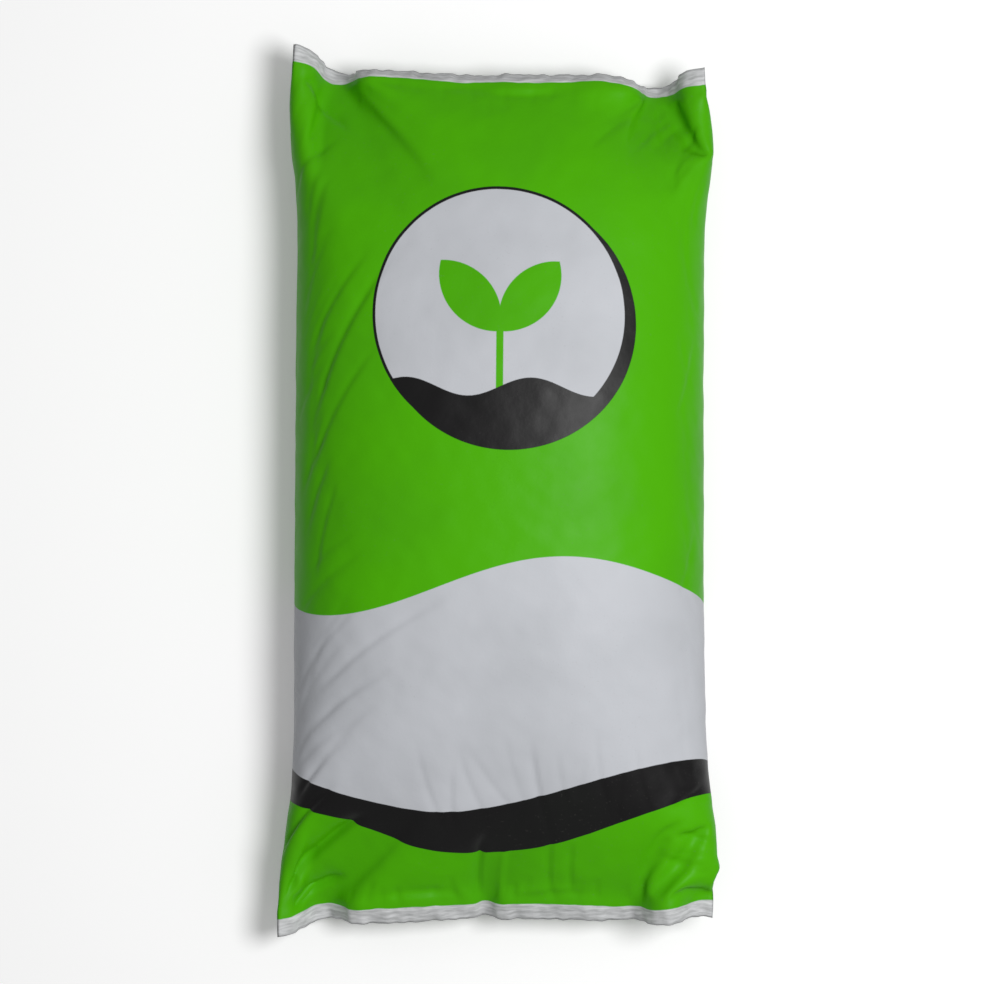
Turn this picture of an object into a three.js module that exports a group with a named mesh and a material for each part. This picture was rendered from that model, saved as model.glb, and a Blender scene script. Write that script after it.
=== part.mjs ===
// A filled compost bag lying on its back: one tube of film, welded flat across both ends.
// Millimetres. +Z is up, +Y points to the head of the bag, and the front panel faces up.
// The film bends but does not stretch, so every section keeps the girth of the tube and every
// line along the bag keeps the length of the film. The ears at the corners come from that.

import * as THREE from 'three';
import { LoftGeometry } from 'three/addons/geometries/LoftGeometry.js';

const { clamp, degToRad, lerp, smoothstep } = THREE.MathUtils;

// Film tube, as it lies flat before it is filled
const FILM_WIDTH = 490;
const FILM_LENGTH = 903;
const SEAL_DEPTH = 18;
const SEAL_THICKNESS = 0.6;
const SEAL_EDGE = 1;

// Filled bag, lying down
const FILL_HEIGHT = 160;
const FOOT_THINNING = 4;
const FLOOR_PRESS = 9;
const EDGE_SHARE = 0.375;
const CROWN_POWER = 2.1;
const BELLY_POWER = 3.6;

// Ends, where the filled bag runs out into the welded strips. Heights are shares of the fill
// height, tapers of the distance from middle to weld, spans and shifts of the film width.
// A pleat's place and width are shares of half the film width, its slope is in radians, and a
// valley in the front has a positive slope. Slack film lets one side of the bag draw in.
const EAR_WIDTH = 110;
const EAR_DROOP = degToRad(25);
const PLEAT_LEAN = 0.2;
const HEAD = {
  sign: 1,
  height: 0.44,
  shift: 0.008,
  taper: 0.565,
  underTaper: 0.346,
  droop: degToRad(65),
  slack: { lean: 0.02, draw: 0.036, span: 0.245 },
  pleats: [
    { at: -0.74, width: 0.45, slope: 1.25 },
    { at: 0.74, width: 0.45, slope: 1.25 },
  ],
};
const FOOT = {
  sign: -1,
  height: 0.39,
  shift: -0.006,
  taper: 0.61,
  underTaper: 0.31,
  droop: degToRad(38),
  slack: { lean: 0.012, draw: 0.035, span: 0.184 },
  pleats: [
    { at: -0.76, width: 0.41, slope: 1 },
    { at: -0.03, width: 0.18, slope: 0.9 },
    { at: 0.76, width: 0.41, slope: -0.95 },
  ],
};

// Folds in the film: a valley with raised banks from one point to another. The first number runs
// across from the middle of the front panel as a share of half the film width, the second along
// from the middle of the bag towards the head as a share of the distance to the weld. Width and
// depth are shares of the film width.
const FOLDS = [
  // creases that run in from the pleats of the head
  { from: [-0.72, 0.99], to: [-0.4, 0.62], width: 0.03, depth: 0.024 },
  { from: [0.7, 0.99], to: [0.38, 0.66], width: 0.03, depth: 0.02 },
  // fan below the right ear of the head
  { from: [0.81, 0.92], to: [0.5, 0.77], width: 0.024, depth: 0.008 },
  { from: [0.86, 0.85], to: [0.6, 0.68], width: 0.024, depth: 0.008 },
  { from: [0.88, 0.78], to: [0.7, 0.6], width: 0.022, depth: 0.006 },
  // soft stress lines on the left of the panel
  { from: [-0.9, 0.12], to: [-0.44, 0.55], width: 0.04, depth: 0.006 },
  { from: [-0.87, 0.28], to: [-0.54, 0.58], width: 0.036, depth: 0.005 },
  { from: [-0.84, -0.47], to: [-0.18, -0.22], width: 0.04, depth: 0.005 },
  // deep folds at the lower left corner
  { from: [-0.58, -0.73], to: [-0.96, -0.92], width: 0.032, depth: 0.013 },
  { from: [-0.44, -0.78], to: [-0.88, -0.96], width: 0.03, depth: 0.01 },
  { from: [-0.68, -0.68], to: [-0.96, -0.8], width: 0.03, depth: 0.007 },
  // gathers above the foot weld
  { from: [0.24, -0.81], to: [0.26, -0.98], width: 0.026, depth: 0.006 },
  { from: [-0.3, -0.84], to: [-0.32, -0.98], width: 0.026, depth: 0.005 },
  // dents down the right side
  { from: [0.66, -0.72], to: [0.98, -0.7], width: 0.032, depth: 0.01 },
  { from: [0.68, -0.82], to: [0.98, -0.81], width: 0.03, depth: 0.012 },
  { from: [0.74, -0.91], to: [0.98, -0.9], width: 0.028, depth: 0.01 },
  { from: [0.75, 0.93], to: [0.98, 0.88], width: 0.03, depth: 0.01 },
  { from: [0.87, 0.38], to: [0.75, 0.16], width: 0.03, depth: 0.005 },
  { from: [0.88, -0.08], to: [0.76, -0.26], width: 0.03, depth: 0.005 },
];
const FOLD_FADE = 28;

// Facets: columns around the tube, a multiple of four, and rows along it
const COLUMNS = 112;
const ROWS_IN_HALF = 6;
const ROWS_IN_TAPER = 17;
const ROWS_IN_SEAL = 2;
const OUTLINE_STEPS = 240;
const PATH_STEPS = 980;

const FILM_GREEN = 0x4eb000;

const WELD = FILM_LENGTH / 2 - SEAL_DEPTH;
const columns = Array.from({ length: COLUMNS }, (_, j) => FILM_WIDTH * (2 * j / COLUMNS - 1));

// Front and back columns that meet at the weld
const partnerOf = (j) => (3 * COLUMNS / 2 - j) % COLUMNS;
const onFront = (across) => Math.abs(across) < FILM_WIDTH / 2;
const onSideEdge = (across) => Math.abs(across) === FILM_WIDTH / 2;

// Distance across the flat weld for a distance round the tube
function weldAcross(across) {
  return onFront(across) ? across : Math.sign(across) * (FILM_WIDTH - Math.abs(across));
}

// The pleated weld: how far across and how high it stands at each column
function sealPath(end) {
  const step = FILM_WIDTH / PATH_STEPS;
  const path = [new THREE.Vector2()];
  for (let i = 0; i < PATH_STEPS; i++) {
    const place = (2 * i + 1) / PATH_STEPS - 1;
    const slope = end.pleats.reduce((sum, pleat) => {
      const turn = clamp((place - pleat.at) / pleat.width, -0.5, 0.5);
      return sum + pleat.slope * Math.sin(2 * Math.PI * turn);
    }, 0);
    path.push(path[i].clone().add(new THREE.Vector2(Math.cos(slope), Math.sin(slope)).multiplyScalar(step)));
  }
  const width = path.at(-1).x;
  const heights = columns.map((across) => {
    const at = (weldAcross(across) / FILM_WIDTH + 0.5) * PATH_STEPS;
    const i = Math.min(Math.floor(at), PATH_STEPS - 1);
    const p = path[i].clone().lerp(path[i + 1], at - i);
    return p.setX(p.x - width / 2);
  });
  return { gather: width / FILM_WIDTH, at: heights };
}

const rise = (share) => Math.sin(clamp(share, 0, 1) * Math.PI / 2);

// Heights and girth of the section at a distance inside the weld, and how far the pleats reach it
function stationAt(end, inside) {
  const thinning = end === FOOT ? FOOT_THINNING * (1 - smoothstep(inside, 0, WELD)) : 0;
  const weldHeight = end.height * FILL_HEIGHT;
  const topRise = rise(inside / (end.taper * WELD));
  const underRise = rise(inside / (end.underTaper * WELD));
  const pleated = (1 - topRise) ** 1.5;
  return {
    top: lerp(weldHeight, FILL_HEIGHT - thinning, topRise),
    edge: lerp(weldHeight, EDGE_SHARE * FILL_HEIGHT, topRise),
    under: weldHeight * (1 - underRise),
    press: FLOOR_PRESS * underRise,
    halfGirth: FILM_WIDTH * lerp(1, end.path.gather, pleated),
    shift: end.shift * FILM_WIDTH * (1 - topRise),
    pleated,
  };
}

// Right half of a section, from the middle of the front panel to the middle of the underside
function sectionOutline(station, halfWidth) {
  const { edge } = station;
  const crown = station.top - edge;
  const belly = edge - station.under + station.press;
  const outline = [];
  for (let i = 0; i <= OUTLINE_STEPS; i++) {
    const turn = Math.PI * (0.5 - i / OUTLINE_STEPS);
    const power = 2 / (turn > 0 ? CROWN_POWER : BELLY_POWER);
    const out = Math.max(Math.cos(turn), 0) ** power;
    const up = Math.abs(Math.sin(turn)) ** power;
    const z = turn > 0 ? edge + crown * up : Math.max(edge - belly * up, station.under);
    outline.push(new THREE.Vector2(halfWidth * out, z));
  }
  return outline;
}

function lengthOf(outline) {
  return outline.reduce((sum, p, i) => sum + (i ? p.distanceTo(outline[i - 1]) : 0), 0);
}

// The outline whose length takes up just the film that is there
function fittedOutline(station) {
  let low = 0;
  let high = FILM_WIDTH;
  while (high - low > 1e-6) {
    const halfWidth = (low + high) / 2;
    if (lengthOf(sectionOutline(station, halfWidth)) < station.halfGirth) low = halfWidth;
    else high = halfWidth;
  }
  return sectionOutline(station, low);
}

function pointAlong(outline, distance) {
  let left = distance;
  for (let i = 1; i < outline.length; i++) {
    const step = outline[i].distanceTo(outline[i - 1]);
    if (step > 0 && left <= step) return outline[i - 1].clone().lerp(outline[i], left / step);
    left -= step;
  }
  return outline.at(-1).clone();
}

function sectionRing(end, inside) {
  const station = stationAt(end, inside);
  const outline = fittedOutline(station);
  const shrink = lengthOf(outline) / FILM_WIDTH;
  return columns.map((across, j) => {
    const p = pointAlong(outline, Math.abs(across) * shrink);
    const drawn = end.path.at[j].x - end.path.gather * weldAcross(across);
    return new THREE.Vector3(Math.sign(across) * p.x + station.shift + drawn * station.pleated, 0, p.y);
  });
}

// Each column runs on from row to row by what its length of film leaves for y
function layOut(end, insides, rings) {
  for (let i = 1; i < rings.length; i++) {
    const length = insides[i - 1] - insides[i];
    rings[i].forEach((p, j) => {
      const before = rings[i - 1][j];
      const sideways = Math.hypot(p.x - before.x, p.z - before.z);
      p.y = before.y + end.sign * Math.sqrt(Math.max(length ** 2 - sideways ** 2, 0));
    });
  }
}

// At the weld the slack ply is drawn in to meet the taut one
function meetAtWeld(rings) {
  const start = rings[ROWS_IN_HALF];
  const reach = rings.at(-1).map((p, j) => Math.abs(p.y - start[j].y));
  const drawn = reach.map((r, j) => Math.min(r, reach[partnerOf(j)]) / r);
  for (const ring of rings.slice(ROWS_IN_HALF + 1)) {
    ring.forEach((p, j) => { p.y = lerp(start[j].y, p.y, drawn[j]); });
  }
}

// The weld is wider than the bag leaves room for, so it stands in pleats that die out inwards
function pleat(end, insides, rings) {
  rings.forEach((ring, i) => {
    const { pleated } = stationAt(end, insides[i]);
    ring.forEach((p, j) => {
      const height = end.path.at[j].y * pleated;
      p.y += end.sign * PLEAT_LEAN * height;
      p.z = Math.max(p.z + height, 0);
    });
  });
}

// The filling lies over to one side and takes up more of the film there
function drawIn(end, rings) {
  const { lean, draw, span } = end.slack;
  const reach = Math.max(...rings.flat().map((p) => p.x)) / FILM_WIDTH;
  for (const p of rings.flat()) {
    const place = p.x / FILM_WIDTH;
    p.y *= 1 - lean * (0.5 + place) - draw * smoothstep(place, reach - span, reach);
  }
}

// A fold fades out at its own ends and towards the weld
function foldDepth(across, along) {
  const here = new THREE.Vector2(across, along);
  const point = ([x, y]) => new THREE.Vector2(x * FILM_WIDTH / 2, y * WELD);
  const fade = smoothstep(WELD - Math.abs(along), 0, FOLD_FADE);
  return FOLDS.reduce((sum, { from, to, width, depth }) => {
    const a = point(from);
    const run = point(to).sub(a);
    const offset = here.clone().sub(a);
    const share = clamp(offset.dot(run) / run.lengthSq(), 0, 1);
    const u = Math.abs(offset.cross(run)) / run.length() / (width * FILM_WIDTH);
    const fold = depth * FILM_WIDTH * Math.sin(Math.PI * share) * (1 - u * u) * Math.exp(-u * u);
    return sum + fade * fold;
  }, 0);
}

function pressFolds(rings, alongs) {
  const flat = rings.map((ring) => ring.map((p) => p.clone()));
  for (let i = 1; i < rings.length - 1; i++) {
    rings[i].forEach((p, j) => {
      const depth = foldDepth(columns[j], alongs[i]);
      const round = flat[i][(j + 1) % COLUMNS].clone().sub(flat[i].at(j - 1));
      const outward = flat[i + 1][j].clone().sub(flat[i - 1][j]).cross(round).normalize();
      p.addScaledVector(outward, depth);
      p.z = Math.max(p.z, 0);
    });
  }
}

// The welded strip carries on from the weld, flatter at its ears, and closes along its cut edge
function sealRows(end, weldRing) {
  const middle = weldRing.map((p, j) => (onFront(columns[j]) ? p : weldRing[partnerOf(j)]).clone());
  const droops = columns.map((across) => {
    const ear = smoothstep(Math.abs(weldAcross(across)), FILM_WIDTH / 2 - EAR_WIDTH, FILM_WIDTH / 2);
    return lerp(end.droop, EAR_DROOP, ear);
  });
  const row = (reach, thickness) => middle.map((p, j) => {
    const side = onSideEdge(columns[j]) ? 0 : (onFront(columns[j]) ? 1 : -1) * thickness / 2;
    const cos = Math.cos(droops[j]);
    const sin = Math.sin(droops[j]);
    return p.clone()
      .addScaledVector(new THREE.Vector3(0, end.sign * cos, -sin), reach)
      .addScaledVector(new THREE.Vector3(0, end.sign * sin, cos), side);
  });
  const rows = [];
  for (let i = 0; i <= ROWS_IN_SEAL; i++) {
    rows.push(row((SEAL_DEPTH - SEAL_EDGE) * i / ROWS_IN_SEAL, SEAL_THICKNESS));
  }
  return [...rows, row(SEAL_DEPTH, 0)];
}

// Rows from the middle of the bag out to the weld
function insidesOf(end) {
  const taper = end.taper * WELD;
  const half = Array.from({ length: ROWS_IN_HALF }, (_, i) => lerp(WELD, taper, i / ROWS_IN_HALF));
  const tapered = Array.from({ length: ROWS_IN_TAPER + 1 }, (_, i) => taper * (1 - i / ROWS_IN_TAPER));
  return [...half, ...tapered];
}

function endRings(end) {
  const insides = insidesOf(end);
  end.path = sealPath(end);
  const rings = insides.map((inside) => sectionRing(end, inside));
  layOut(end, insides, rings);
  meetAtWeld(rings);
  pleat(end, insides, rings);
  drawIn(end, rings);
  return rings;
}

const alongHead = insidesOf(HEAD).map((inside) => WELD - inside);
const alongFoot = insidesOf(FOOT).map((inside) => inside - WELD).slice(1).reverse();
const body = [...endRings(FOOT).slice(1).reverse(), ...endRings(HEAD)];
pressFolds(body, [...alongFoot, ...alongHead]);
const sections = [
  ...sealRows(FOOT, body[0]).reverse(),
  ...body.slice(1, -1),
  ...sealRows(HEAD, body.at(-1)),
];

const film = new LoftGeometry(sections);
film.computeBoundingBox();
const { min, max } = film.boundingBox;
film.translate(-(min.x + max.x) / 2, -(min.y + max.y) / 2, -min.z);

const printedFilm = new THREE.MeshStandardMaterial({ color: FILM_GREEN, roughness: 0.35, metalness: 0 });
const bag = new THREE.Mesh(film, printedFilm);
bag.name = 'filled_bag';

const part = new THREE.Group();
part.name = 'compost_bag';
part.add(bag);

export default part;
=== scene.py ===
"""Dresses the compost bag: a film bag, filled and welded at both ends, lying on its back.

The film is worked out in millimetres on a grid that runs round the tube and along it. It starts
as the same loft as the solid, and is then relaxed as thin film that bends but hardly stretches,
pressed out by its filling and held at the welded strips, so that its gathers come by themselves.
"""

import math

import bpy
import numpy as np
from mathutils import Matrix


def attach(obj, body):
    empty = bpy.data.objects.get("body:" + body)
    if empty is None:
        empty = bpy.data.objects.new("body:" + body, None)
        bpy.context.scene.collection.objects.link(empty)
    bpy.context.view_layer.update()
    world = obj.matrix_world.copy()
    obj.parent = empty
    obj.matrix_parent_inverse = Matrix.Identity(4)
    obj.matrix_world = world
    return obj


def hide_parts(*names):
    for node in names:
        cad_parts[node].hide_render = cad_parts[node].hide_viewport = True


MM = 0.001
REAL = np.float32
TINY = 1e-6

# Film tube, lying flat
FILM_WIDTH = 490.0
FILM_LENGTH = 903.0
SEAL_DEPTH = 18.0
SEAL_PLY = 0.25
WELD = FILM_LENGTH / 2 - SEAL_DEPTH

# Filled bag, lying down
FILL_HEIGHT = 159.0
FOOT_THINNING = 26.0
FLOOR_PRESS = 9.0
EDGE_SHARE = 0.42
CROWN_POWER = 2.5
BELLY_POWER = 2.9

# Ends. A pleat is its place along the weld, the film it takes up, and how steeply it folds. A wave
# is its height, its pitch and its start. Slack is how much shorter the film lies towards its right
# edge, how much more it is drawn in at that edge, and over what span.
PATH_SAMPLES = 1969
OUTLINE_SAMPLES = 241
UNDER_TAPER = 200.0
RIPPLE_FADE = 1.5
RIPPLE_LEAN = 0.2
EAR_WIDTH = 110.0
EAR_DROOP = math.radians(25)
HEAD = {
    "sign": 1,
    "height": 70.0,
    "shift": -6.0,
    "taper": 270.0,
    "slack": (0.02, 0.036, 120),
    "droop": math.radians(65),
    "pleats": [(-181, 110, 1.25), (181, 110, 1.25)],
    "waves": [(2, 176, -180), (1.5, 84, 0)],
}
FOOT = {
    "sign": -1,
    "height": 62.0,
    "shift": -10.0,
    "taper": 300.0,
    "slack": (0.012, 0.035, 90),
    "droop": math.radians(38),
    "pleats": [(-186, 100, 1.0), (-8, 44, 0.9), (186, 100, -0.95)],
    "waves": [(2, 172, -158), (1.5, 88, -10)],
}

# Grid of the film, and for each pass of relaxing it the number of steps and the damping
COLUMNS = 160
ROWS = 144
PASSES = [(700, 0.97), (250, 0.95)]
START_NOISE = 0.3
START_SEED = 5

# Push of the filling, and the weight and hold of the welded strips
FILL_PUSH = 1e-4
FILL_LIFT = 0.12
FILL_RAMP = 200.0
FIN_WEIGHT = 1e-4
SEAL_HOLD = 0.04
HOLD_SPAN = 15.0

# What the film does against being pushed together, bent and sheared, and the gap to its other ply
COMPRESSION = 0.02
BENDING = 0.02
SEAL_BENDING = 0.05
SEAL_HOPS = (2, 4)
SHEAR = 0.5
PLY_SPAN = 110.0
PLY_GAP = 0.5

# The share of an askew end that the film has taken on, and the girth that wrinkles near the ends
# take up
SKEW_SET = 0.85
TAKE_UP = 0.04
TAKE_UP_RISE = 30.0
TAKE_UP_FADE = (110.0, 300.0)

# Handling creases: ends (across, along) on the film, half width and depth; a ridge is negative
CREASES = [
    ((-236, 424), (-160, 368), 6, 3.6),
    ((-206, 52), (-104, 240), 5, 3.0),
    ((-210, 122), (-130, 242), 4, 2.0),
    ((-206, 10), (-118, 150), 4, 1.8),
    ((-196, -206), (-40, -96), 4, 2.2),
    ((-200, -240), (-96, -168), 4, 1.8),
    ((-246, -424), (-132, -318), 7, 10.0),
    ((-236, -432), (-158, -396), 6, 7.0),
    ((-248, -372), (-164, -286), 6, 6.0),
    ((-16, -432), (-10, -340), 4, 4.4),
    ((10, -432), (12, -356), 4, -2.2),
    ((62, -428), (58, -342), 4, 2.4),
    ((84, -428), (80, -350), 4, 2.2),
    ((214, 166), (184, 70), 4, 1.2),
    ((216, -34), (186, -112), 4, 1.2),
    ((224, -300), (176, -322), 5, 2.2),
    ((228, -346), (182, -352), 5, 2.6),
    ((230, -386), (172, -374), 5, 2.6),
]

# How a crease runs: its bow and the fade at its ends as shares of its length, and how far its two
# sides reach as shares of its half width. Creases and lumps die away near the weld.
CREASE_BOW = 0.04
CREASE_FADE = 0.3
SHARP_SIDE = 0.7
EASY_SIDE = 1.3
CALM_SPAN = 16.0

# Families of fine wrinkles: first and last middle, count, direction, length, half width, depth
WRINKLES = [
    ((-196, 330), (-196, -40), 17, math.radians(62), 120, 4, 1.2),
    ((-176, -60), (-176, -300), 13, math.radians(42), 150, 4, 1.1),
    ((-210, -250), (-210, -330), 4, math.radians(40), 90, 4, 1.3),
    ((206, 372), (120, 388), 9, math.radians(48), 84, 4, 1.5),
    ((214, 300), (180, 352), 7, math.radians(70), 90, 4, 1.3),
    ((206, 250), (206, -260), 14, math.radians(112), 90, 4, 0.8),
    ((208, -280), (208, -404), 9, math.radians(168), 70, 4, 1.8),
    ((-60, -306), (180, -280), 14, math.radians(106), 120, 4, 1.2),
    ((-150, -418), (150, -418), 17, math.radians(94), 44, 4, 1.4),
    ((-150, 416), (170, 416), 15, math.radians(92), 40, 4, 1.1),
]
WRINKLE_SEED = 8
WRINKLE_SCATTER = 7
WRINKLE_TURN = 0.16
WRINKLE_LENGTHS = (0.5, 1.1)
WRINKLE_DEPTHS = (0.4, 1.3)

# Crinkles of the welded strips
STRIP_CRINKLE = 0.45
STRIP_PITCHES = (13.0, 19.0, 31.0, 52.0)
STRIP_LEAN = 0.6
STRIP_LEAD = 0.4
STRIP_SEED = 3

# Lumps of the filling that show through: height, and the span of their sizes
LUMP_HEIGHT = 0.15
LUMP_SIZES = (18.0, 60.0)
LUMP_WAVES = 60
LUMP_POWER = 0.7
LUMP_SEED = 11

# Print, in millimetres on the film from the middle of its front
PRINT_EDGE = WELD - 2
PRINT_UNEVEN = 9
PRINT_WANDER = 22.0
STREAK_SCALES = (0.055, 0.28)
STREAK_BLUR = 0.25
DISC_CENTRE = (0, 178)
DISC_RADIUS = 124
DISC_OFFSET = (9, -9)
DISC_RIM = 3
LEAF_LENGTH = 92
LEAF_WIDTH = 46
LEAF_TILT = math.radians(40)
LEAF_FOOT = (0, 158)
STEM_FOOT = 92
STEM_WIDTH = 7
STEM_OVERLAP = 12
MOUND = (104, 9, 123, 0)
PALE_TOP = (-92, 30, FILM_WIDTH, -60)
BLACK_TOP = (-296, 24, FILM_WIDTH, 70)
BLACK_FOOT = (-340, 30, FILM_WIDTH, 110)

# Colours, linear
GREEN = (0.076, 0.434, 0.0015, 1)
PALE = (0.56, 0.575, 0.61, 1)
BLACK = (0.007, 0.0065, 0.007, 1)
BARE_FILM = (0.80, 0.81, 0.82, 1)
STRIP_SHADE = (0.48, 0.49, 0.49, 1)
TONE_SHADE = (0.02, 0.03, 0.02, 1)
DUST = (0.20, 0.19, 0.17, 1)
FLOOR = (0.97, 0.97, 0.97, 1)
FLOOR_BOUNCE = (0.3, 0.3, 0.3, 1)
FLOOR_GLOW = 0.16
FLOOR_ROUGH = 0.9

# Uneven tone of the film: scale and detail of its noise, where it sets in, blur and strength
TONE_NOISE = (9.0, 3.0)
TONE_LIMIT = 0.55
TONE_BLUR = 0.2
TONE_STRENGTH = 0.10

# Faint specks of dust, which lie in patches
SPECK_NOISE = (420.0, 1.0)
SPECK_LIMIT = 0.72
SPECK_BLUR = 0.03
PATCH_NOISE = (7.0, 2.0)
PATCH_LIMIT = 0.52
PATCH_BLUR = 0.1
DUST_STRENGTH = 0.1

# Sheen of bare film and of dark ink, and roughness with its scuffs
FILM_SHEEN = 0.08
INK_SHEEN = 0.2
INK_LIMIT = 0.05
INK_BLUR = 0.03
ROUGH = 0.34
SCUFF_ROUGH = 0.14
SCUFF_NOISE = (60.0, 5.0)
STRIP_ROUGH = 0.1

# Bump: fine crinkles all over, and ribs pressed into the welds
CRINKLE_NOISE = (130.0, 3.0)
CRINKLE_BUMP = 0.8
RIB_PITCH = 2.2
RIB_BUMP = 0.12
BUMP_STRENGTH = 0.35
BUMP_DISTANCE = 0.0006

# View and light, in metres and watts
FLOOR_HALF = 6
WORLD_LIGHT = 0.31
KEY_PLACE = (1.12, 0.1, 2.6)
KEY_SIZE = 1.2
KEY_POWER = 55
SENSOR_WIDTH = 36
FRAME_HEIGHT = 0.08
FRAME_WIDTH = 0.980
VIEW_CENTRE = (-0.006, -0.001)
VIEW_HEIGHT = 4.0


def unit(vectors):
    return vectors / (np.sqrt((vectors**2).sum(0)) + REAL(TINY))


def smooth(share):
    share = np.clip(share, 0, 1)
    return share * share * (3 - 2 * share)


def rise(share):
    return np.sin(np.clip(share, 0, 1) * np.pi / 2)


def film_grid(columns, rows):
    """Distance round the tube from the middle of the front, and along it from the middle."""
    across = FILM_WIDTH * (2 * np.arange(columns) / columns - 1)
    along = FILM_LENGTH * (np.arange(rows + 1) / rows - 0.5)
    return across, along


def partners(columns):
    """The column of the other ply that each column meets at the weld."""
    return (3 * columns // 2 - np.arange(columns)) % columns


def weld_across(across):
    folded = np.sign(across) * (FILM_WIDTH - np.abs(across))
    return np.where(np.abs(across) <= FILM_WIDTH / 2, across, folded)


def seal_path(end, across):
    """Where the pleated weld runs, across the bag and in height, for each place along its film."""
    place = np.linspace(-FILM_WIDTH / 2, FILM_WIDTH / 2, PATH_SAMPLES)
    slope = np.zeros_like(place)
    for centre, width, steepness in end["pleats"]:
        turn = np.clip((place - centre) / width, -0.5, 0.5)
        slope += steepness * np.sin(2 * np.pi * turn)
    step = place[1] - place[0]
    x = np.cumsum(np.cos(slope)) * step
    z = np.cumsum(np.sin(slope)) * step
    z += sum(h * np.sin(2 * np.pi * (place - c) / p) for h, p, c in end["waves"])
    folded = weld_across(across)
    x = np.interp(folded, place, x - (x[0] + x[-1]) / 2)
    return x, np.interp(folded, place, z)


def section_outline(top, under, press, half_width):
    """Half a section, from the middle of the front to the middle of the underside."""
    turn = np.linspace(np.pi / 2, -np.pi / 2, OUTLINE_SAMPLES)
    edge = under + (top - under) * EDGE_SHARE
    power = 2 / np.where(turn > 0, CROWN_POWER, BELLY_POWER)
    out = np.maximum(np.cos(turn), 0) ** power
    up = np.abs(np.sin(turn)) ** power
    belly = np.maximum(edge - (edge - under + press) * up, under)
    return half_width * out, np.where(turn > 0, edge + (top - edge) * up, belly)


def section_ring(end, inside, across):
    """The section at a distance inside the weld, as wide as its film allows."""
    thinning = FOOT_THINNING * (1 - smooth(inside / WELD)) if end is FOOT else 0
    top_rise = rise(inside / end["taper"])
    under_rise = rise(inside / UNDER_TAPER)
    top = end["height"] + (FILL_HEIGHT - thinning - end["height"]) * top_rise
    under = end["height"] * (1 - under_rise)
    path_x, path_z = seal_path(end, across)
    gather = np.ptp(path_x) / FILM_WIDTH
    half_girth = FILM_WIDTH * (gather + (1 - gather) * top_rise)
    low, high = 0.0, FILM_WIDTH
    while high - low > TINY:
        half_width = (low + high) / 2
        x, z = section_outline(top, under, FLOOR_PRESS * under_rise, half_width)
        steps = np.hypot(np.diff(x), np.diff(z))
        if steps.sum() < half_girth:
            low = half_width
        else:
            high = half_width
    reach = np.concatenate([[0], np.cumsum(steps)])
    at = np.abs(across) * reach[-1] / FILM_WIDTH
    share = (1 - top_rise) ** RIPPLE_FADE
    x = np.sign(across) * np.interp(at, reach, x) + end["shift"] * (1 - top_rise)
    x += share * (path_x - gather * weld_across(across))
    return x, np.interp(at, reach, z), share * path_z


def shortening(end, x):
    """The share of its length that an askew end takes off the film at each place across."""
    lean, draw, span = end["slack"]
    return lean * (0.5 + x / FILM_WIDTH) + draw * smooth((x - x.max() + span) / span)


def lay_end(film, end, across, along, other_ply):
    """Lays one half of the bag, from its middle out to the cut edge."""
    sign = end["sign"]
    middle = (len(along) - 1) // 2
    rows = [middle + sign * k for k in range(middle + 1)]
    body = [i for i in rows if abs(along[i]) <= WELD]
    fin = [i for i in rows if abs(along[i]) > WELD]
    ripples = []
    for before, i in zip([body[0]] + body, body):
        film[0, i], film[2, i], ripple = section_ring(end, WELD - abs(along[i]), across)
        ripples.append(ripple)
        length = abs(along[i] - along[before])
        sideways = np.hypot(film[0, i] - film[0, before], film[2, i] - film[2, before])
        run = np.sqrt(np.maximum(length**2 - sideways**2, 0))
        film[1, i] = film[1, before] + sign * run
    tapered = [i for i in body if WELD - abs(along[i]) < end["taper"]]
    start = film[1, tapered[0] - sign]
    reach = np.abs(film[1, body[-1]] - start)
    drawn = np.minimum(reach, reach[other_ply]) / reach
    for i in tapered:
        film[1, i] = start + (film[1, i] - start) * drawn
    for i, ripple in zip(body, ripples):
        film[1, i] += sign * RIPPLE_LEAN * ripple
        film[2, i] = np.maximum(film[2, i] + ripple, 0)
    weld_line = (film[:, body[-1]] + film[:, body[-1]][:, other_ply]) / 2
    ear = smooth((np.abs(weld_across(across)) - FILM_WIDTH / 2 + EAR_WIDTH) / EAR_WIDTH)
    droop = end["droop"] + (EAR_DROOP - end["droop"]) * ear
    for i in fin:
        out = abs(along[i]) - abs(along[body[-1]])
        film[:, i] = weld_line
        film[1, i] += sign * out * np.cos(droop)
        film[2, i] -= out * np.sin(droop)
    film[1, rows] *= 1 - shortening(end, film[0, rows])


def loft_film(columns, rows):
    across, along = film_grid(columns, rows)
    film = np.zeros((3, rows + 1, columns))
    for end in (HEAD, FOOT):
        lay_end(film, end, across, along, partners(columns))
    return film.astype(REAL)


def link(a, b, rest, tension, compression):
    """Moves two sets of points towards their rest distance, in place."""
    gap = b - a
    length = np.sqrt(gap[0] ** 2 + gap[1] ** 2 + gap[2] ** 2)
    over = length - REAL(rest)
    gap *= np.where(over > 0, REAL(tension / 2), REAL(compression / 2)) * over / length
    a += gap
    b -= gap


def link_along(film, hop, rest, tension, compression):
    rows = film.shape[1]
    for first in range(2 * hop):
        a = film[:, first : rows - hop : 2 * hop]
        b = film[:, first + hop : rows : 2 * hop]
        link(a, b, hop * rest[first : rows - hop : 2 * hop], tension, compression)


def link_around(film, hop, rest, tension, compression):
    for first in range(hop):
        a = film[:, :, first :: 2 * hop]
        b = film[:, :, first + hop :: 2 * hop]
        link(a, b, rest, tension, compression)
        link(b[..., :-1], a[..., 1:], rest, tension, compression)
        link(b[..., -1:], a[..., :1], rest, tension, compression)


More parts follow.
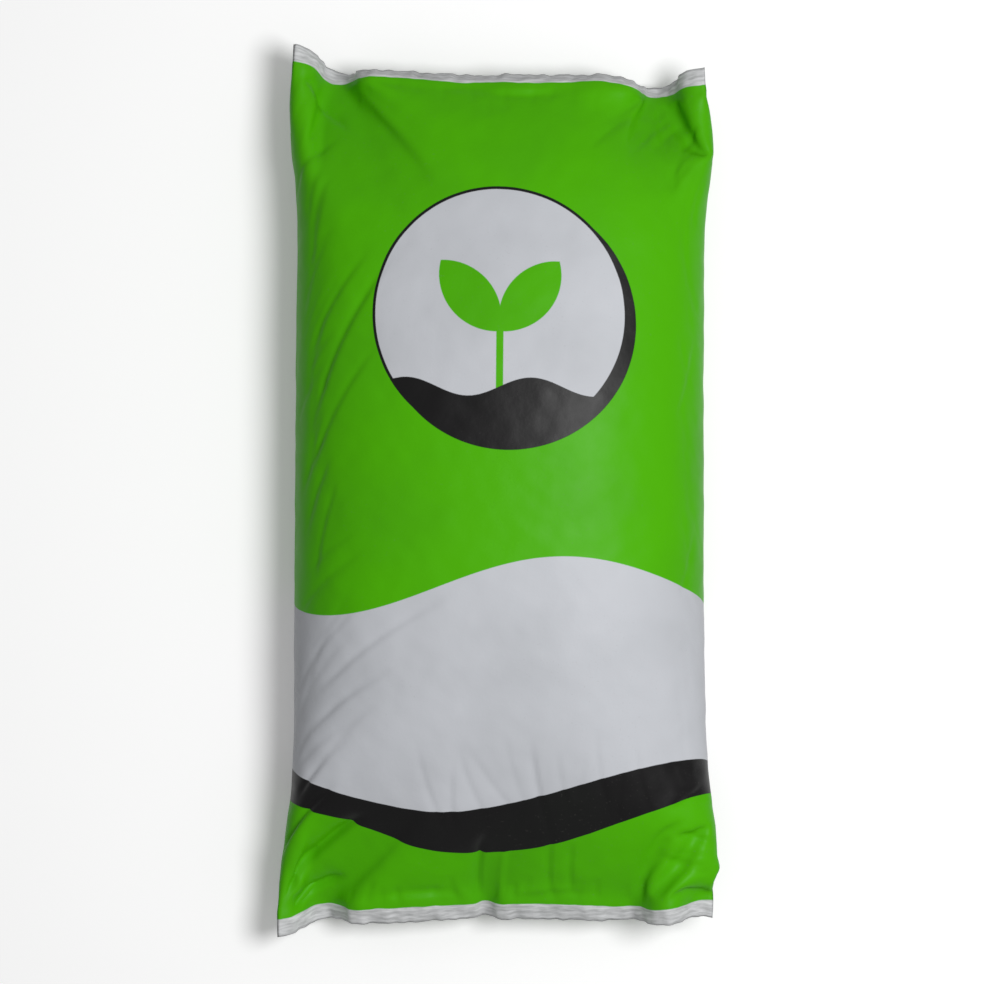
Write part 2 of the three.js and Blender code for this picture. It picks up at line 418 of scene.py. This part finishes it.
def link_diagonals(film, rest, tension, compression):
    rows = film.shape[1]
    for first in range(2):
        a = film[:, first : rows - 1 : 2]
        b = film[:, first + 1 : rows : 2]
        for p, q in ((a, b), (b, a)):
            link(p[..., :-1], q[..., 1:], rest, tension, compression)
            link(p[..., -1:], q[..., :1], rest, tension, compression)


def area_vectors(film):
    """Outward normals, as long as the area of a grid cell."""
    s = np.roll(film, -1, 2) - np.roll(film, 1, 2)
    t = np.empty_like(film)
    t[:, 1:-1] = film[:, 2:] - film[:, :-2]
    t[:, 0] = 2 * (film[:, 1] - film[:, 0])
    t[:, -1] = 2 * (film[:, -1] - film[:, -2])
    cross = [s[1] * t[2] - s[2] * t[1], s[2] * t[0] - s[0] * t[2], s[0] * t[1] - s[1] * t[0]]
    return np.stack(cross) / 4


def part(film, areas, front, back):
    """Keeps the two plies from passing through each other."""
    normals = unit(areas[:, :, front] - areas[:, :, back])
    gap = ((film[:, :, front] - film[:, :, back]) * normals).sum(0)
    push = normals * np.maximum(REAL(PLY_GAP) - gap, 0) / 2
    film[:, :, front] += push
    film[:, :, back] -= push


def relax(film, goal, steps, damping):
    """Lets the film settle round its filling, with its welded strips held near their goal."""
    rows, columns = film.shape[1] - 1, film.shape[2]
    across, along = film_grid(columns, rows)
    step_s, step_t = 2 * FILM_WIDTH / columns, FILM_LENGTH / rows
    diagonal = math.hypot(step_s, step_t)
    strip = np.count_nonzero(along > WELD)
    strips = np.concatenate([np.arange(strip), np.arange(rows + 1 - strip, rows + 1)])
    other_ply = partners(columns)
    inside = np.maximum(WELD - np.abs(along), 0)[:, None]
    push = (FILL_PUSH * smooth(inside / FILL_RAMP)).astype(REAL)
    hold = (SEAL_HOLD * (1 - smooth(inside / HOLD_SPAN))).astype(REAL)
    front = np.arange(columns // 4 + 1, 3 * columns // 4)
    near = round(PLY_SPAN / step_t)
    length = np.empty(film.shape[1:], REAL)
    for end, half in ((HEAD, along >= 0), (FOOT, along < 0)):
        length[half] = step_t * (1 - SKEW_SET * shortening(end, goal[0, half]))
    fade = (inside - TAKE_UP_FADE[0]) / (TAKE_UP_FADE[1] - TAKE_UP_FADE[0])
    girth = step_s * (1 - TAKE_UP * smooth(inside / TAKE_UP_RISE) * (1 - smooth(fade)))
    drift = np.zeros_like(film)
    for _ in range(steps):
        before = film.copy()
        areas = area_vectors(film)
        pressure = (REAL(1 + FILL_LIFT) - film[2] / film[2].max()) * push
        film += drift * REAL(damping) + pressure * areas + hold * (goal - film)
        film[2, strips] -= REAL(FIN_WEIGHT * step_s * step_t)
        link_along(film, 1, length, 1, COMPRESSION)
        link_around(film, 1, girth, 1, COMPRESSION)
        link_diagonals(film, diagonal, SHEAR, SHEAR * COMPRESSION)
        link_along(film, 2, length, 0, BENDING)
        link_around(film, 2, 2 * girth, 0, BENDING)
        for fin in (film[:, :strip], film[:, -strip:]):
            for hop in SEAL_HOPS:
                link_around(fin, hop, hop * step_s, 0, SEAL_BENDING)
        for end in (slice(strip, strip + near), slice(-strip - near, -strip)):
            part(film[:, end], areas[:, end], front, other_ply[front])
        plies = film[:, strips]
        film[:, strips] = (plies + plies[:, :, other_ply]) / 2
        np.maximum(film[2], 0, out=film[2])
        drift = film - before
    return film


def between(a, b, c, d):
    """The point midway from b to c on a smooth curve through four points in a row."""
    return (9 * (b + c) - a - d) / 16


def refine(film):
    """Halves the grid both ways with a smooth curve through the points."""
    rows, columns = film.shape[1], film.shape[2]
    wide = np.empty((3, rows, 2 * columns), film.dtype)
    wide[..., 0::2] = film
    wide[..., 1::2] = between(np.roll(film, 1, 2), film, np.roll(film, -1, 2), np.roll(film, -2, 2))
    first = 2 * wide[:, :1] - wide[:, 1:2]
    last = 2 * wide[:, -1:] - wide[:, -2:-1]
    padded = np.concatenate([first, wide, last], 1)
    fine = np.empty((3, 2 * rows - 1, 2 * columns), film.dtype)
    fine[:, 0::2] = wide
    fine[:, 1::2] = between(padded[:, :-3], padded[:, 1:-2], padded[:, 2:-1], padded[:, 3:])
    return fine


def settled_film():
    goal = loft_film(COLUMNS, ROWS)
    noise = np.random.default_rng(START_SEED).normal(0, START_NOISE, goal.shape)
    film = goal + noise.astype(REAL)
    for number, (steps, damping) in enumerate(PASSES):
        if number:
            film, goal = refine(film), refine(goal)
        film = relax(film, goal, steps, damping)
    return film


def fine_wrinkles():
    """The lines of each family, side by side with a little disorder."""
    dice = np.random.default_rng(WRINKLE_SEED)
    lines = []
    for first, last, count, direction, length, width, depth in WRINKLES:
        for share in np.linspace(0, 1, count):
            middle = np.add(first, np.subtract(last, first) * share)
            x, y = middle + dice.normal(0, WRINKLE_SCATTER, 2)
            turn = direction + dice.normal(0, WRINKLE_TURN)
            half = length / 2 * dice.uniform(*WRINKLE_LENGTHS)
            dx, dy = half * math.cos(turn), half * math.sin(turn)
            deep = depth * dice.uniform(*WRINKLE_DEPTHS)
            lines.append(((x - dx, y - dy), (x + dx, y + dy), width, deep))
    return lines


def crease_depth(across, along):
    """How far creases press the film in: sharp on one side of each line, easing off on the other."""
    depth = np.zeros((len(along), len(across)))
    for (ax, ay), (bx, by), width, deep in CREASES + fine_wrinkles():
        run = math.hypot(bx - ax, by - ay)
        dx, dy = across[None, :] - ax, along[:, None] - ay
        share = (dx * (bx - ax) + dy * (by - ay)) / run**2
        off = (dx * (by - ay) - dy * (bx - ax)) / run
        off = off + CREASE_BOW * run * np.sin(np.pi * np.clip(share, 0, 1))
        fade = smooth(share / CREASE_FADE) * smooth((1 - share) / CREASE_FADE)
        sharp = np.exp(-((off / (SHARP_SIDE * width)) ** 2))
        easy = np.exp(-np.abs(off) / (EASY_SIDE * width))
        depth += deep * fade * np.where(off > 0, sharp, easy)
    return depth


def lump_height(across, along):
    """Small swells all over, from waves of many sizes and directions that close round the tube."""
    dice = np.random.default_rng(LUMP_SEED)
    swell = np.zeros((len(along), len(across)))
    for size in np.geomspace(*LUMP_SIZES, LUMP_WAVES):
        direction = dice.uniform(0, 2 * np.pi)
        turns = round(2 * FILM_WIDTH * math.cos(direction) / size)
        waves = math.sin(direction) / size
        phase = 2 * np.pi * (turns * across[None, :] / (2 * FILM_WIDTH) + waves * along[:, None])
        weight = (size / LUMP_SIZES[1]) ** LUMP_POWER
        swell += np.sin(phase + dice.uniform(0, 2 * np.pi)) * weight
    return LUMP_HEIGHT * swell / swell.std()


def handled(film):
    """Adds the lumps of the filling and the creases of handling to the settled film."""
    rows, columns = film.shape[1] - 1, film.shape[2]
    across, along = film_grid(columns, rows)
    calm = smooth((WELD - np.abs(along)) / CALM_SPAN)[:, None]
    move = lump_height(across, along) - crease_depth(across, along)
    film += (move * calm).astype(REAL) * unit(area_vectors(film))
    np.maximum(film[2], 0, out=film[2])
    return film


def finish_strips(film):
    """Crinkles the welded strips, and sets their two plies a film thickness apart."""
    across, along = film_grid(film.shape[2], film.shape[1] - 1)
    out = (np.abs(along) - WELD)[:, None]
    normals = unit(area_vectors(film))
    dice = np.random.default_rng(STRIP_SEED)
    crinkle = np.zeros((len(along), len(across)))
    for pitch in STRIP_PITCHES:
        turn = weld_across(across)[None, :] / pitch + np.sign(along)[:, None] * dice.uniform(0, 1)
        lean = dice.uniform(-STRIP_LEAN, STRIP_LEAN)
        crinkle += np.sin(2 * np.pi * (turn + out / SEAL_DEPTH * lean))
    facing = np.where(np.abs(across) < FILM_WIDTH / 2, 1, -1)
    move = STRIP_CRINKLE * crinkle * facing * smooth(out / SEAL_DEPTH + STRIP_LEAD)
    film += (move + SEAL_PLY * (out > 0)).astype(REAL) * normals
    return film


def film_mesh(film, name):
    """The film as one closed mesh, with its flat layout as its UV map."""
    rows, columns = film.shape[1] - 1, film.shape[2]
    points = film.reshape(3, -1).T * MM
    index = np.arange((rows + 1) * columns).reshape(rows + 1, columns)
    right = np.roll(index, -1, 1)
    faces = np.stack([index[:-1], right[:-1], right[1:], index[1:]], -1).reshape(-1, 4)
    u0, v0 = np.meshgrid(np.arange(columns) / columns, np.arange(rows + 1) / rows)
    u1 = u0 + 1 / columns
    us = np.stack([u0[:-1], u1[:-1], u1[1:], u0[1:]], -1)
    vs = np.stack([v0[:-1], v0[:-1], v0[1:], v0[1:]], -1)
    polygons = faces.tolist()
    layout = np.stack([us, vs], -1).reshape(-1, 2).tolist()
    other_ply = partners(columns)
    for row in (0, rows):
        for j in range(columns // 4, 3 * columns // 4):
            edge = list(dict.fromkeys([j, j + 1, other_ply[j + 1], other_ply[j]]))
            if row == 0:
                edge.reverse()
            polygons.append([int(index[row, k]) for k in edge])
            layout += [[k / columns, row / rows] for k in edge]
    mesh = bpy.data.meshes.new(name)
    mesh.from_pydata(points.tolist(), [], polygons)
    uv = mesh.uv_layers.new(name="film")
    uv.data.foreach_set("uv", np.asarray(layout, np.float32).ravel())
    mesh.polygons.foreach_set("use_smooth", [True] * len(mesh.polygons))
    mesh.update()
    return mesh


class Paint:
    """Short names for the shader nodes of one material."""

    def __init__(self, name):
        self.material = bpy.data.materials.new(name)
        self.material.use_nodes = True
        self.tree = self.material.node_tree
        self.shader = self.tree.nodes["Principled BSDF"]

    def join(self, value, socket):
        if isinstance(value, bpy.types.NodeSocket):
            self.tree.links.new(value, socket)
        else:
            socket.default_value = value

    def sum(self, kind, *values):
        node = self.tree.nodes.new("ShaderNodeMath")
        node.operation = kind
        for value, socket in zip(values, node.inputs):
            self.join(value, socket)
        return node.outputs[0]

    def add(self, a, b):
        return self.sum("ADD", a, b)

    def less(self, a, b):
        return self.sum("SUBTRACT", a, b)

    def times(self, a, b):
        return self.sum("MULTIPLY", a, b)

    def both(self, a, b):
        return self.sum("MINIMUM", a, b)

    def either(self, a, b):
        return self.sum("MAXIMUM", a, b)

    def edge(self, inside, blur=0.5):
        """1 where the distance inside a shape is positive, with a soft edge."""
        ramp = self.tree.nodes.new("ShaderNodeMapRange")
        ramp.interpolation_type = "SMOOTHSTEP"
        for value, socket in zip((inside, -blur, blur, 0, 1), ramp.inputs):
            self.join(value, socket)
        return ramp.outputs[0]

    def distance(self, x, y, centre):
        dx = self.less(x, centre[0])
        dy = self.less(y, centre[1])
        return self.sum("SQRT", self.add(self.times(dx, dx), self.times(dy, dy)))

    def disc(self, x, y, centre, radius):
        return self.less(radius, self.distance(x, y, centre))

    def wave(self, x, height, swing, pitch, shift):
        turn = self.times(self.less(x, shift), 2 * math.pi / pitch)
        return self.add(self.times(self.sum("SINE", turn), swing), height)

    def mix(self, share, a, b):
        node = self.tree.nodes.new("ShaderNodeMix")
        node.data_type = "RGBA"
        self.join(share, node.inputs["Factor"])
        self.join(a, node.inputs["A"])
        self.join(b, node.inputs["B"])
        return next(out for out in node.outputs if out.type == "RGBA")

    def grey(self, color):
        node = self.tree.nodes.new("ShaderNodeRGBToBW")
        self.join(color, node.inputs[0])
        return node.outputs[0]

    def pair(self, x, y):
        node = self.tree.nodes.new("ShaderNodeCombineXYZ")
        self.join(x, node.inputs[0])
        self.join(y, node.inputs[1])
        return node.outputs[0]

    def noise(self, vector, scale, detail=2.0):
        node = self.tree.nodes.new("ShaderNodeTexNoise")
        self.join(vector, node.inputs["Vector"])
        node.inputs["Scale"].default_value = scale
        node.inputs["Detail"].default_value = detail
        return node.outputs["Fac"]


def leaf(paint, x, y, tilt):
    """A pointed leaf from its foot on the stem: the overlap of two circles."""
    half, width = LEAF_LENGTH / 2, LEAF_WIDTH / 2
    radius = (half**2 + width**2) / (2 * width)
    middle = (LEAF_FOOT[0] + half * math.sin(tilt), LEAF_FOOT[1] + half * math.cos(tilt))
    aside = ((radius - width) * math.cos(tilt), -(radius - width) * math.sin(tilt))
    one = paint.disc(x, y, (middle[0] + aside[0], middle[1] + aside[1]), radius)
    two = paint.disc(x, y, (middle[0] - aside[0], middle[1] - aside[1]), radius)
    return paint.both(one, two)


def printed_film():
    """Glossy film with a made-up print: bands of soil, and a seedling on a pale disc."""
    paint = Paint("printed_film")
    uv = paint.tree.nodes.new("ShaderNodeUVMap")
    uv.uv_map = "film"
    split = paint.tree.nodes.new("ShaderNodeSeparateXYZ")
    paint.join(uv.outputs[0], split.inputs[0])
    x = paint.times(paint.less(split.outputs[0], 0.5), 2 * FILM_WIDTH)
    y = paint.times(paint.less(split.outputs[1], 0.5), FILM_LENGTH)
    place = paint.tree.nodes.new("ShaderNodeTexCoord").outputs["Object"]

    pale_band = paint.less(paint.wave(x, *PALE_TOP), y)
    black_band = paint.less(paint.wave(x, *BLACK_TOP), y)
    below = paint.less(paint.wave(x, *BLACK_FOOT), y)
    color = paint.mix(paint.edge(pale_band), GREEN, PALE)
    color = paint.mix(paint.edge(black_band), color, BLACK)
    color = paint.mix(paint.edge(below), color, GREEN)

    shade_at = (DISC_CENTRE[0] + DISC_OFFSET[0], DISC_CENTRE[1] + DISC_OFFSET[1])
    disc = paint.disc(x, y, DISC_CENTRE, DISC_RADIUS)
    shade = paint.disc(x, y, shade_at, DISC_RADIUS + DISC_RIM)
    rim = paint.add(disc, DISC_RIM)
    color = paint.mix(paint.edge(paint.either(shade, rim)), color, BLACK)
    color = paint.mix(paint.edge(disc), color, PALE)
    leaves = paint.either(leaf(paint, x, y, LEAF_TILT), leaf(paint, x, y, -LEAF_TILT))
    stem = paint.less(STEM_WIDTH / 2, paint.sum("ABSOLUTE", x))
    stem_top = paint.less(LEAF_FOOT[1] + STEM_OVERLAP, y)
    stem = paint.both(stem, paint.both(paint.less(y, STEM_FOOT), stem_top))
    color = paint.mix(paint.edge(paint.either(leaves, stem)), color, GREEN)
    mound = paint.both(rim, paint.less(paint.wave(x, *MOUND), y))
    color = paint.mix(paint.edge(mound), color, BLACK)

    uneven = paint.times(paint.less(paint.noise(place, PRINT_WANDER, 2.0), 0.5), PRINT_UNEVEN)
    bare = paint.edge(paint.add(paint.less(paint.sum("ABSOLUTE", y), PRINT_EDGE), uneven))
    drawn = paint.pair(paint.times(x, STREAK_SCALES[0]), paint.times(y, STREAK_SCALES[1]))
    streaks = paint.edge(paint.less(paint.noise(drawn, 1.0, 4.0), 0.5), STREAK_BLUR)
    strip = paint.mix(streaks, STRIP_SHADE, BARE_FILM)
    color = paint.mix(bare, color, strip)

    tone = paint.edge(paint.less(paint.noise(place, *TONE_NOISE), TONE_LIMIT), TONE_BLUR)
    color = paint.mix(paint.times(tone, TONE_STRENGTH), color, TONE_SHADE)
    specks = paint.edge(paint.less(paint.noise(place, *SPECK_NOISE), SPECK_LIMIT), SPECK_BLUR)
    patches = paint.edge(paint.less(paint.noise(place, *PATCH_NOISE), PATCH_LIMIT), PATCH_BLUR)
    dust = paint.times(paint.times(specks, patches), DUST_STRENGTH)
    color = paint.mix(dust, color, DUST)
    paint.join(color, paint.shader.inputs["Base Color"])
    dark = paint.edge(paint.less(INK_LIMIT, paint.grey(color)), INK_BLUR)
    sheen = paint.add(paint.times(dark, INK_SHEEN - FILM_SHEEN), FILM_SHEEN)
    paint.join(sheen, paint.shader.inputs["Specular IOR Level"])

    scuffs = paint.noise(place, *SCUFF_NOISE)
    rough = paint.add(paint.times(scuffs, SCUFF_ROUGH), ROUGH)
    rough = paint.add(rough, paint.times(bare, STRIP_ROUGH))
    paint.join(rough, paint.shader.inputs["Roughness"])

    ribs = paint.times(paint.sum("SINE", paint.times(y, 2 * math.pi / RIB_PITCH)), bare)
    crinkle = paint.times(paint.noise(place, *CRINKLE_NOISE), CRINKLE_BUMP)
    bump = paint.tree.nodes.new("ShaderNodeBump")
    bump.inputs["Strength"].default_value = BUMP_STRENGTH
    bump.inputs["Distance"].default_value = BUMP_DISTANCE
    paint.join(paint.add(crinkle, paint.times(ribs, RIB_BUMP)), bump.inputs["Height"])
    paint.join(bump.outputs[0], paint.shader.inputs["Normal"])
    return paint.material


def pale_floor():
    """White to the eye, but throwing less light back up at the bag."""
    paint = Paint("pale_floor")
    rays = paint.tree.nodes.new("ShaderNodeLightPath").outputs
    seen = paint.either(rays["Is Glossy Ray"], rays["Is Transmission Ray"])
    seen = paint.either(rays["Is Camera Ray"], seen)
    paint.join(paint.mix(seen, FLOOR_BOUNCE, FLOOR), paint.shader.inputs["Base Color"])
    paint.join(paint.times(seen, FLOOR_GLOW), paint.shader.inputs["Emission Strength"])
    paint.shader.inputs["Emission Color"].default_value = FLOOR
    paint.shader.inputs["Roughness"].default_value = FLOOR_ROUGH
    paint.shader.inputs["Specular IOR Level"].default_value = 0
    return paint.material


def add(name, data):
    thing = bpy.data.objects.new(name, data)
    bpy.context.scene.collection.objects.link(thing)
    return thing


def add_light(name, place, size, power):
    data = bpy.data.lights.new(name, "AREA")
    data.shape = "DISK"
    data.size = size
    data.energy = power
    light = add(name, data)
    light.location = place
    light.rotation_euler = (-light.location).to_track_quat("-Z", "Y").to_euler()


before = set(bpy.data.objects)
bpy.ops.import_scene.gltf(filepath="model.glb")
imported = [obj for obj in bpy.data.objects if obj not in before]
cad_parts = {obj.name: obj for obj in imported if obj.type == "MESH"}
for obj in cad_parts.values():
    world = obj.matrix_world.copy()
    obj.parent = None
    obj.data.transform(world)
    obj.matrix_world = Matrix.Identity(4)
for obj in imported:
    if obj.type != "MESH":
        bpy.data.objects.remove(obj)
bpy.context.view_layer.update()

film = finish_strips(handled(settled_film()))
low, high = film.reshape(3, -1).min(1), film.reshape(3, -1).max(1)
film[:2] -= ((low + high) / 2)[:2, None, None]
bag = add("film_bag", film_mesh(film, "film_bag"))
bag.data.materials.append(printed_film())
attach(bag, "root")
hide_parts("filled_bag")

floor_mesh = bpy.data.meshes.new("floor")
corners = [(x * FLOOR_HALF, y * FLOOR_HALF, 0) for x, y in ((-1, -1), (1, -1), (1, 1), (-1, 1))]
floor_mesh.from_pydata(corners, [], [(0, 1, 2, 3)])
floor = add("floor", floor_mesh)
floor.data.materials.append(pale_floor())

world = bpy.data.worlds.new("studio")
world.use_nodes = True
sky = world.node_tree.nodes["Background"]
sky.inputs["Color"].default_value = (1, 1, 1, 1)
sky.inputs["Strength"].default_value = WORLD_LIGHT
bpy.context.scene.world = world
add_light("key", KEY_PLACE, KEY_SIZE, KEY_POWER)

camera_data = bpy.data.cameras.new("camera")
camera_data.sensor_width = SENSOR_WIDTH
camera_data.lens = SENSOR_WIDTH * (VIEW_HEIGHT - FRAME_HEIGHT) / FRAME_WIDTH
camera = add("camera", camera_data)
camera.location = (*VIEW_CENTRE, VIEW_HEIGHT)
bpy.context.scene.camera = camera
bpy.context.scene.view_settings.view_transform = "Standard"
